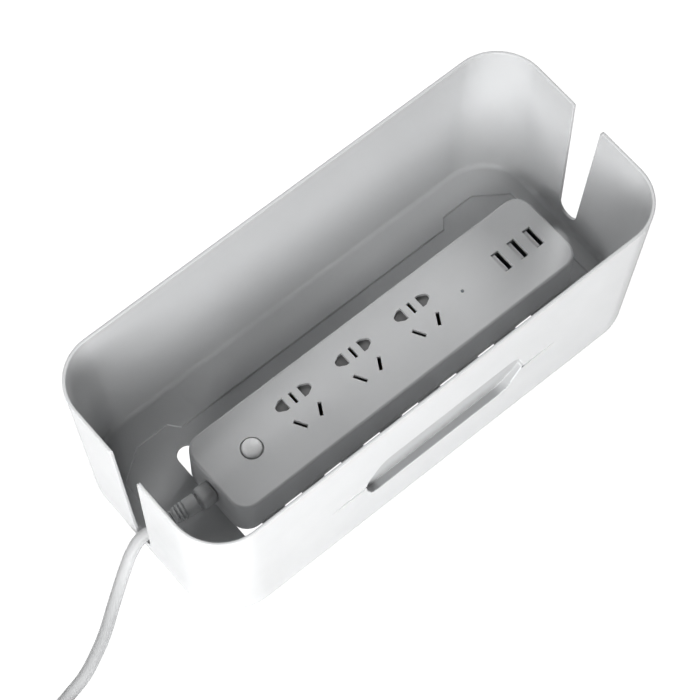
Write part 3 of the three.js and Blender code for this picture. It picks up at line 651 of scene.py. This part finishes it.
def pin_hole(side):
    """Hole for a flat pin that opens outwards into the hole for a round pin."""
    inner, outer, half, middle, radius, steps = 5.15, 7.55, 3.6, 9.5, 2.3, 10
    points = [(inner, -half), (outer, -half)]
    for i in range(steps + 1):
        angle = math.radians(-75 + 150 * i / steps)
        points.append((middle + radius * math.cos(angle), radius * math.sin(angle)))
    points += [(outer, half), (inner, half)]
    return prism([(side * x, y) for x, y in points], CEILING - 1, STRIP_TOP + 1)


def socket_holes(x):
    tools = [block((1.9, 7, 8), (x, EARTH_Y, STRIP_TOP))]
    for side in (-1, 1):
        slot = block((1.9, 7.8, 8), (0, 0, STRIP_TOP))
        tools.append(turned(slot, -side * SLANTED[2], x + side * SLANTED[0], SLANTED[1]))
        tools.append(moved(pin_hole(side), Matrix.Translation((x, EARTH_Y, 0))))
    return tools


def strip_cover():
    bottom_round, steps = 0.3, 10
    rings = [
        (WALL, CEILING), (WALL, COVER_BOTTOM),
        (bottom_round, COVER_BOTTOM), (0, COVER_BOTTOM + bottom_round),
    ]
    for distance, rise in quarter(TOP_ROUND, 6, rising=False):
        rings.append((distance, STRIP_TOP + rise))
    shell = loft([level(inset(STRIP, distance), z, steps) for distance, z in rings])
    posts = []
    for _, x, y in CORNERS:
        post = lathe([(0, 6.4), (3.5, 6.4), (3.5, CEILING + 0.5), (0, CEILING + 0.5)], 32)
        posts.append(moved(post, Matrix.Translation((x * SCREW_X, y * SCREW_Y, 0))))
    shell = combined(shell, together(posts), "UNION")
    holes = [tool for x in SOCKET_X for tool in socket_holes(x)]
    for x in USB_X:
        holes.append(block((5, 12.6, 8), (x, ROW_Y, STRIP_TOP)))
    for x, y, radius in ((SWITCH_X, SWITCH_Y, BUTTON_HOLE), (LAMP_X, ROW_Y, LAMP_HOLE)):
        low, high = CEILING - 1, STRIP_TOP + 1
        hole = lathe([(0, low), (radius, low), (radius, high), (0, high)], 64)
        holes.append(moved(hole, Matrix.Translation((x, y, 0))))
    for _, x, y in CORNERS:
        bore = lathe([(0, 5), (1.3, 5), (1.3, 18), (0, 18)], 24)
        holes.append(moved(bore, Matrix.Translation((x * SCREW_X, y * SCREW_Y, 0))))
    exit_hole = lathe([(0, -4), (EXIT_HOLE, -4), (EXIT_HOLE, 4), (0, 4)], 32)
    turn = Matrix.Rotation(math.pi / 2, 4, "Y")
    holes.append(moved(exit_hole, Matrix.Translation((-STRIP[0] / 2, 0, EXIT_HEIGHT)) @ turn))
    shell = combined(shell, together(holes))
    soften(shell, 0.3, where=lambda p: p.z > STRIP_TOP - NEAR)
    finished("strip_cover_moulding", in_strip(shell), strip_plastic, "strip",
             "strip_cover")


def strip_base():
    rings = [
        (1.2, 0), (0.8, 0.1), (0.2, 0.7), (0, 1.2), (0, 3.7), (0.3, 4), (2.3, 4), (2.3, 6.0), (2.5, 6.2),
        (3.8, 6.2), (3.8, 2),
    ]
    shell = loft([level(inset(STRIP, distance), z, 10) for distance, z in rings])
    bosses, holes = [], []
    for _, x, y in CORNERS:
        place = Matrix.Translation((x * SCREW_X, y * SCREW_Y, 0))
        bosses.append(moved(lathe([(0, 1), (4.5, 1), (4.5, 6.1), (0, 6.1)], 32), place))
        holes.append(moved(lathe([(0, -1), (3.4, -1), (3.4, 2), (1.7, 2), (1.7, 7), (0, 7)], 32), place))
        foot = Matrix.Translation((x * STRIP_FOOT_X, y * SCREW_Y, 0))
        holes.append(moved(lathe([(0, -1), (5.3, -1), (5.3, 1), (0, 1)], 40), foot))
    shell = combined(shell, together(bosses), "UNION")
    shell = combined(shell, together(holes))
    soften(shell, 0.2, segments=2, where=lambda p: p.z < NEAR)
    finished("strip_base_moulding", in_strip(shell), strip_plastic, "strip", "strip_base")


def screw():
    """Pan-head self-tapping screw, head down, with a cross recess."""
    thread_start, tip, pitch = 3, 15.2, 1.1
    profile = [
        (0, 0.35), (1.8, 0.4), (2.7, 0.62), (3.05, 0.95), (3.1, 1.35), (2.9, 1.55), (1.05, 1.7),
        (1.05, thread_start),
    ]
    z = thread_start
    while z < tip - pitch:
        profile += [(0.98, z + 0.1), (1.25, z + 0.45), (0.98, z + 0.8)]
        z += pitch
    profile += [(0.8, tip), (0, 15.95)]
    arms = [block(size, (0, 0, 0.5)) for size in ((3.2, 0.7, 1.2), (0.7, 3.2, 1.2))]
    arms = combined(*arms, "UNION")
    return combined(lathe(profile, 32), arms)


def build_casing():
    strip_cover()
    strip_base()
    for name, x, y in CORNERS:
        piece = moved(screw(), Matrix.Translation((x * SCREW_X, y * SCREW_Y, 0)))
        finished(f"case_screw_{name}", in_strip(piece), steel_part, "strip",
                 f"strip_screw_{name}")
        foot = lathe([(0, -1.5), (4.5, -1.5), (4.9, -1.35), (5, -1), (5, 0.6), (4.9, 0.7), (0, 0.7)])
        moved(foot, Matrix.Translation((x * STRIP_FOOT_X, y * SCREW_Y, 0)))
        finished(f"strip_pad_{name}", in_strip(foot), foot_rubber, "strip",
                 f"strip_foot_{name}")


build_casing()

# ---- Switch, shutters, charger and wires --------------------------------------------------------


def build_switch():
    radius, rise, steps = BUTTON_RADIUS, 1.6, 12
    shoulder = STRIP_TOP + 0.7
    profile = [
        (0, 21), (2.8, 21), (2.8, 26.3), (7.5, 26.3), (7.5, 28), (radius, 28), (radius, shoulder - 0.2),
    ]
    for i in range(steps + 1):
        angle = math.pi / 2 * i / steps
        profile.append(((radius - 0.1) * math.cos(angle), shoulder + rise * math.sin(angle)))
    button = moved(lathe(profile, 96), Matrix.Translation((SWITCH_X, SWITCH_Y, 0)))
    finished("power_button", in_strip(button), button_plastic, "button", "switch_button")
    turns, per_turn, radius, wire, bottom, tall = 5, 16, 2.2, 0.35, 10.3, 7.2
    points = []
    for i in range(turns * per_turn + 1):
        angle = math.tau * i / per_turn
        along = i / (turns * per_turn)
        x = SWITCH_X + radius * math.cos(angle)
        y = SWITCH_Y + radius * math.sin(angle)
        points.append(Vector((x, y, bottom + tall * along)) + STRIP_ORIGIN)
    line_piece("button_spring", points, wire, steel_part, "strip", "switch_spring", 3)


def build_shutters():
    inner, outer, front, bridge = 4.4, 12.8, EARTH_Y - 4.3, EARTH_Y + 4.2
    outline = [
        (-outer, front), (-inner, front), (-inner, bridge), (inner, bridge),
        (inner, front), (outer, front), (outer, bridge + 2), (-outer, bridge + 2),
    ]
    for i, x in enumerate(SOCKET_X, 1):
        plate = prism(outline, 25.8, CEILING - 0.3)
        soften(plate, 0.35, 20)
        moved(plate, Matrix.Translation((x, 0, 0)))
        finished(f"shutter_plate_{i}", in_strip(plate), shutter_plastic, f"shutter_{i}",
                 f"socket_shutter_{i}")


def build_ports():
    bottom = 12.9
    for i, x in enumerate(USB_X, 1):
        shell = block((5.9, 13.4, 15.1), (0, 0, bottom + 7.55))
        shell = combined(shell, block((5.1, 12.6, 16), (0, 0, bottom + 8.4)))
        soften(shell, 0.18, segments=2)
        moved(shell, Matrix.Translation((x, ROW_Y, 0)))
        finished(f"usb_shell_{i}", in_strip(shell), steel_part, "strip", f"usb_port_{i}")
        tongue = block((2.1, 11.4, 15.5), (-1.15, 0, 21.65))
        soften(tongue, 0.2, segments=2)
        pads = [block((0.12, 1.1, 9), (-0.06, y, 23.5)) for y in (-3.5, -1.1, 1.1, 3.5)]
        tongue = together([tongue] + pads)
        moved(tongue, Matrix.Translation((x, ROW_Y, 0)))
        finished(f"usb_blade_{i}", in_strip(tongue), strip_plastic, "strip",
                 f"usb_tongue_{i}")


def build_board_parts():
    can = lathe([
        (0, 12.9), (3.7, 12.9), (4, 13.2), (4, 14.2), (3.75, 14.5), (4, 14.8), (4, 25.4), (3.8, 25.8),
        (3.3, 25.9), (3.1, 25.6), (0, 25.6),
    ], 40)
    moved(can, Matrix.Translation((72, ROW_Y - 9, 0)))
    finished("filter_capacitor", in_strip(can), capacitor_sleeve, "strip",
             "usb_capacitor")
    core = block((12, 14, 12), (0, 0, 0))
    core = combined(core, block((14, 9, 7.4), (0, 0, 0)))
    winding = loft([level((11, 8.6, 2), z, 6) for z in (-3.6, 3.6)])
    winding = moved(winding, Matrix.Rotation(math.pi / 2, 4, "X"))
    whole = together([soften(core, 0.5), soften(moved(winding, Matrix.Scale(0.93, 4)), 0.3)])
    moved(whole, Matrix.Translation((72, ROW_Y + 9, 18.9)))
    finished("charger_transformer", in_strip(whole), coil_tape, "strip", "usb_transformer")
    pipe = lathe([
        (0, 21), (2.4, 21), (2.5, 21.1), (2.5, 22.3), (2.4, 22.5), (LAMP_RADIUS, 22.5),
        (LAMP_RADIUS, STRIP_TOP - 0.4), (0.5, STRIP_TOP - 0.15), (0, STRIP_TOP - 0.1),
    ], 32)
    moved(pipe, Matrix.Translation((LAMP_X, ROW_Y, 0)))
    finished("indicator_pipe", in_strip(pipe), lamp_lens, "strip", "lamp_pipe")


def build_wires():
    wires = [
        ("live", wire_brown, "wire_brown", [
            (-115, -1.9, 18.9), (-111, -4, 18), (-105, -7, 15.5), (-100, -8, 14),
        ]),
        ("switched", wire_brown, "wire_brown", [
            (-82.1, -8, 14), (-78.4, -9, 12.5), (-76.5, -13, 9), (-72.4, -15, 7.9),
        ]),
        ("neutral", wire_blue, "wire_blue", [
            (-115, 1.9, 18.9), (-110, 4, 18), (-104.5, 11, 14), (-97, 15.5, 9.5),
            (-86, 17, 7.9), (-72.4, 17, 7.9),
        ]),
        ("earth", wire_green, "wire_green", [
            (-115, 0, 15.6), (-111, 0.5, 12), (-106, 2, 6.5), (-99, 4.5, 4.6),
            (-88, 7, 4.6), (-72.4, EARTH_Y, 4.9),
        ]),
        ("usb_live", wire_brown, "wire_brown", [
            (44.4, -15, 7.9), (46.5, -14.5, 8.8), (47.6, -13.5, 10.8), (49, -13.2, 11.6),
        ]),
        ("usb_neutral", wire_blue, "wire_blue", [
            (44.4, 17, 7.9), (46.5, 16.5, 8.8), (47.6, 15.5, 10.8), (49, 15.2, 11.6),
        ]),
    ]
    for name, material, slot, points in wires:
        points = [Vector(p) + STRIP_ORIGIN for p in points]
        line_piece(f"insulated_wire_{name}", points, WIRE_RADIUS, material, "strip",
                   f"wire_{name}", 4)


build_switch()
build_shutters()
build_ports()
build_board_parts()
build_wires()

# ---- Pieces kept as CAD made them ---------------------------------------------------------------

KEPT = {
    "live_bar": brass_contact,
    "neutral_bar": brass_contact,
    "earth_bar": brass_contact,
    "switch_body": dark_plastic,
    "switch_terminal_1": brass_contact,
    "switch_terminal_2": brass_contact,
    "usb_board": board_green,
}
for node, material in KEPT.items():
    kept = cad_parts[node]
    kept.data.materials.clear()
    kept.data.materials.append(material)

# ---- Mains cord and plug ------------------------------------------------------------------------


def eased(value, start, length):
    """Smooth step from 0 to 1 as value passes from start over length."""
    t = min(1, max(0, (value - start) / length))
    return (1 - math.cos(math.pi * t)) / 2


def coil_points():
    """Turns of the coil: three beside each other on the table, inwards, then three on them, outwards."""
    enter, leave, step, shift = 104, 270 + 5 * 360, 15, 63
    onto_tie, off_tie, ramp = 50, 225, 40
    table = CORD_RADIUS + 0.1
    lifted = COIL_LOW.z + TURN_PITCH / 2 - table
    points = []
    count = round((leave - enter) / step)
    for i in range(1, count + 1):
        angle = enter + (leave - enter) * i / count
        inwards = eased(angle, enter + 360 - shift, shift) + eased(angle, enter + 720 - shift, shift)
        climb = eased(angle, enter + 1080 - 2 * shift, shift)
        fourth_end, fifth_end = enter + 1440 - 3 * shift, enter + 1800 - 3 * shift
        outwards = eased(angle, fourth_end, shift) + eased(angle, fifth_end, shift)
        radius = OUTER_TURN - TURN_PITCH * (inwards - outwards)
        turn = angle % 360
        over_tie = eased(turn, onto_tie, ramp) - eased(turn, off_tie, ramp)
        height = table + lifted * over_tie + TURN_PITCH * climb
        place = math.radians(angle)
        points.append((
            COIL_CENTRE.x + radius * math.cos(place), COIL_CENTRE.y + radius * math.sin(place), height,
        ))
    return points


def build_cord():
    low, high = node_box("cord_end")
    axis_y = (low.y + high.y) / 2
    end = [(-250.5, axis_y, 13.4), (-242.8, axis_y, 14.9), (-240, axis_y, 15.1), (-236, axis_y, 15.2)]
    points = CORD_ROUTE + coil_points() + end
    return line_piece(
        "mains_cord", points, CORD_RADIUS, cord_jacket, "strip",
        ("cord", "cord_coil", "cord_end"), 8,
    )


def build_relief():
    """Collar against the strip's end, a neck through the wall, and a ribbed taper on the cord."""
    wall = STRIP_ORIGIN.x - STRIP[0] / 2
    height = STRIP_ORIGIN.z + EXIT_HEIGHT
    collar_end = wall - 9.3
    rings = [(2.2, 0), (0.7, 0.45), (0, 1.4), (0, 7.6), (0.35, 8.6), (1, 9)]
    collar = loft([level(inset((13, 11, 3.2), distance), z, 8) for distance, z in rings])
    neck = lathe([
        (0, 8), (4.2, 8), (4.2, 11.6), (5.4, 11.6), (5.5, 11.7), (5.5, 12.5), (5.4, 12.6), (0, 12.6),
    ], 40)
    turn = Matrix.Rotation(math.pi / 2, 4, "Y")
    place = Matrix.Translation((collar_end, STRIP_ORIGIN.y, height)) @ turn
    start = Vector((collar_end + 1, STRIP_ORIGIN.y, height))
    axis = RELIEF_END - start
    long = axis.length - 0.3
    profile = [(0, 0), (3.9, 0), (3.9, 1.5), (5, 1.7), (5.2, 2)]
    rib, gap, first_rib = 1.3, 0.9, 9
    z = first_rib
    profile += [(5.1, z - 0.3), (4.9, z)]
    while z + rib + gap < long:
        radius = 5.1 - 0.9 * (z - first_rib) / (long - first_rib)
        profile += [(radius - 0.8, z + 0.15), (radius - 0.8, z + gap - 0.15), (radius - 0.1, z + gap),
                    (radius - 0.1, z + gap + rib)]
        z += rib + gap
    profile += [(3.95, z + 0.1), (3.75, long - 0.2), (3.6, long), (0, long)]
    lean = Vector((0, 0, 1)).rotation_difference(axis).to_matrix().to_4x4()
    sleeve = moved(lathe(profile, 48), Matrix.Translation(start) @ lean)
    whole = combined(moved(collar, place), moved(neck, place), "UNION")
    whole = combined(whole, sleeve, "UNION")
    return finished("strain_relief", whole, cord_jacket, "strip", "cord_relief")


def build_tie():
    """Hook-and-loop strap round the turns of the coil."""
    low, high = node_box("cord_tie")
    wide, thick = high.y - low.y, 1
    x, z = (low.x + high.x) / 2, (low.z + high.z) / 2
    outer = (high.x - low.x - 0.2, high.z - low.z, 3.5)
    inner = inset(outer, thick)
    section = [(p.x, p.y) for p in rounded(*outer, 8)]
    hollow = [(p.x, p.y) for p in rounded(*inner, 8)]
    rings = []
    for side, outline in ((-1, section), (1, section), (1, hollow), (-1, hollow)):
        rings.append([(x + px, COIL_CENTRE.y + side * wide / 2, z + pz) for px, pz in outline])
    rings.append(rings[0])
    strap = loft(rings, capped=False)
    bmesh.ops.remove_doubles(strap, verts=strap.verts, dist=0.001)
    soften(outward(strap), 0.25, 50, 2)
    return finished("hook_and_loop_tie", strap, tie_strap, "strip", "cord_tie")


def build_plug():
    low, high = node_box("plug_body")
    place = Vector((low.x, (low.y + high.y) / 2, (low.z + high.z) / 2))
    long = high.x - low.x
    relief = 22
    stand = Matrix.Translation(place) @ Matrix.Rotation(math.pi / 2, 4, "Y")
    wide, tall = high.z - low.z, high.y - low.y
    levels = [
        (15, 15, 6, relief - 1.5), (17.5, 17.5, 6.5, relief), (20, 20.5, 7, relief + 4),
        (24, 25, 8, relief + 9.5),
        (27, 28.6, 8.6, relief + 14), (28.4, 30, 9, relief + 18), (28.8, 30.6, 9, relief + 22),
        (wide - 0.6, tall - 0.6, 9, long - 6), (wide, tall, 9, long - 4.5), (wide, tall, 9, long - 1),
        (wide - 0.5, tall - 0.5, 8.8, long - 0.25), (wide - 1.6, tall - 1.6, 8.2, long),
    ]
    body = loft([level(outline, z, 10) for *outline, z in levels])
    grips = []
    grip_side, grip_spread, grip_start, grip_pitch = 14.9, 0.09, 15.5, 2.6
    for side in (-1, 1):
        for i in range(6):
            aside, z = side * (grip_side + grip_spread * i), relief + grip_start + grip_pitch * i
            bar = block((16, 1.1, 1.1), (0, aside, z))
            grips.append(bar)
    body = combined(body, together(grips))
    profile = [(0, 0), (4.4, 0), (4.6, 0.3)]
    rib, gap = 2.1, 0.8
    z = 0.3
    while z + rib + gap < relief:
        radius = 4.6 + 1.6 * z / relief
        profile += [
            (radius, z), (radius + 0.1, z + rib),
            (radius - 0.7, z + rib + 0.12), (radius - 0.7, z + rib + gap),
        ]
        z += rib + gap
    profile += [(6.3, z), (6.6, relief + 0.5), (0, relief + 0.5)]
    body = combined(body, lathe(profile, 48), "UNION")
    pins = [
        ("earth", 0, 10.31, 21, 0),
        ("live", -SLANTED[0], -3.96, 18, 30),
        ("neutral", SLANTED[0], -3.96, 18, -30),
    ]
    drop = 3
    holes = []
    for _, x, y, _, angle in pins:
        holes.append(turned(block((2.1, 6.9, 5), (0, 0, long - 0.8)), angle, x, y - drop))
    body = combined(body, together(holes))
    soften(body, 0.25, 45, 2, lambda p: p.z > relief + 12)
    body = moved(body, stand)
    pieces = [finished("plug_moulding", body, cord_jacket, "strip", "plug_body")]
    for name, x, y, reach, angle in pins:
        start, tip = long - 3, long + reach
        half = [(0.75, 3.15), (0.75, 3.15), (0.35, 2.6)]
        heights = [start, tip - 1.4, tip]
        blade = loft([level((2 * a, 2 * b, 0.3), z, 2) for (a, b), z in zip(half, heights)])
        blade = moved(turned(blade, angle, x, y - drop), stand)
        piece = finished(f"plug_blade_{name}", blade, pin_brass, "strip", f"plug_pin_{name}")
        pieces.append(piece)
    return pieces


cord = build_cord()
relief_piece = build_relief()
tie_piece = build_tie()
plug_pieces = build_plug()

# ---- Floor, light and camera --------------------------------------------------------------------

SHEET_TONE = 0.8

# How far every lamp stands from the box, in metres.
LAMP_DISTANCE = 1.6

# The camera's place is given by angles in degrees round its target. Lengths are in metres, and the
# lens and the sensor are in millimetres.
CAMERA_AZIMUTH = -40.704
CAMERA_ELEVATION = 64.817
CAMERA_ROLL = 0.692
CAMERA_DISTANCE = 1.52764
CAMERA_TARGET = Vector((0.006624, 0.017702, 0.0012))
LENS = 142.73
SENSOR_WIDTH = 36
VIEW_GAMMA = 0.77


def floor_sheet(name, glow):
    """A plain sheet under everything. The floor that shows is one, and the floor that lights is another."""
    half = 4
    bm = bmesh.new()
    corners = ((-half, -half), (half, -half), (half, half), (-half, half))
    bm.faces.new([bm.verts.new((x, y, 0)) for x, y in corners])
    mesh = bpy.data.meshes.new(name)
    bm.to_mesh(mesh)
    bm.free()
    sheet = bpy.data.objects.new(name, mesh)
    bpy.context.scene.collection.objects.link(sheet)
    material = surface(name, grey(SHEET_TONE), 0.9, vary=0.0, grain_depth=0.001)
    shader = material.node_tree.nodes["Principled BSDF"]
    shader.inputs["Emission Color"].default_value = (1, 1, 1, 1)
    shader.inputs["Emission Strength"].default_value = glow
    mesh.materials.append(material)
    return sheet


def build_floor():
    shown = floor_sheet("studio_floor", 1.0)
    shown.visible_diffuse = False
    shown.visible_glossy = False
    shown.visible_transmission = False
    shown.visible_shadow = False
    floor_sheet("studio_bounce", 0.15).visible_camera = False


def area_light(name, azimuth, elevation, size, power):
    """Square lamp aimed at the box. Azimuth 0 is in front of it and 90 at its right."""
    aim = Vector((0, 0, 0.05))
    a, e = math.radians(azimuth), math.radians(elevation)
    away = Vector((math.sin(a) * math.cos(e), -math.cos(a) * math.cos(e), math.sin(e)))
    lamp = bpy.data.lights.new(name, "AREA")
    lamp.energy = power
    lamp.shape = "SQUARE"
    lamp.size = size
    obj = bpy.data.objects.new(name, lamp)
    obj.location = aim + away * LAMP_DISTANCE
    obj.rotation_euler = away.to_track_quat("Z", "Y").to_euler()
    obj.visible_camera = False
    bpy.context.scene.collection.objects.link(obj)


def build_light():
    area_light("key", -48, 28, 0.9, 26)
    area_light("fill", 0, 33, 0.6, 5.2)
    area_light("right", 120, 42, 0.4, 8)
    area_light("back", 150, 50, 0.45, 2.5)
    area_light("left", -135, 42, 0.4, 5)
    area_light("notch", -89, 30, 0.12, 2.5)
    world = bpy.data.worlds.new("studio")
    world.use_nodes = True
    background = world.node_tree.nodes["Background"]
    background.inputs["Color"].default_value = (1, 1, 1, 1)
    background.inputs["Strength"].default_value = 1
    world.cycles_visibility.diffuse = False
    world.cycles_visibility.glossy = False
    bpy.context.scene.world = world


def build_camera():
    angles = (CAMERA_AZIMUTH, CAMERA_ELEVATION, CAMERA_ROLL)
    azimuth, elevation, roll = (math.radians(a) for a in angles)
    flat = math.cos(elevation)
    back = Vector((math.sin(azimuth) * flat, -math.cos(azimuth) * flat, math.sin(elevation)))
    right = Vector((math.cos(azimuth), math.sin(azimuth), 0))
    up = back.cross(right)
    across = math.cos(roll) * right + math.sin(roll) * up
    upward = math.cos(roll) * up - math.sin(roll) * right
    turn = Matrix((across, upward, back)).transposed().to_4x4()
    data = bpy.data.cameras.new("camera")
    data.lens = LENS
    data.sensor_width = SENSOR_WIDTH
    camera = bpy.data.objects.new("camera", data)
    camera.matrix_world = Matrix.Translation(CAMERA_TARGET + back * CAMERA_DISTANCE) @ turn
    bpy.context.scene.collection.objects.link(camera)
    bpy.context.scene.camera = camera


build_floor()
build_light()
build_camera()
bpy.context.scene.view_settings.view_transform = "Standard"
bpy.context.scene.view_settings.gamma = VIEW_GAMMA
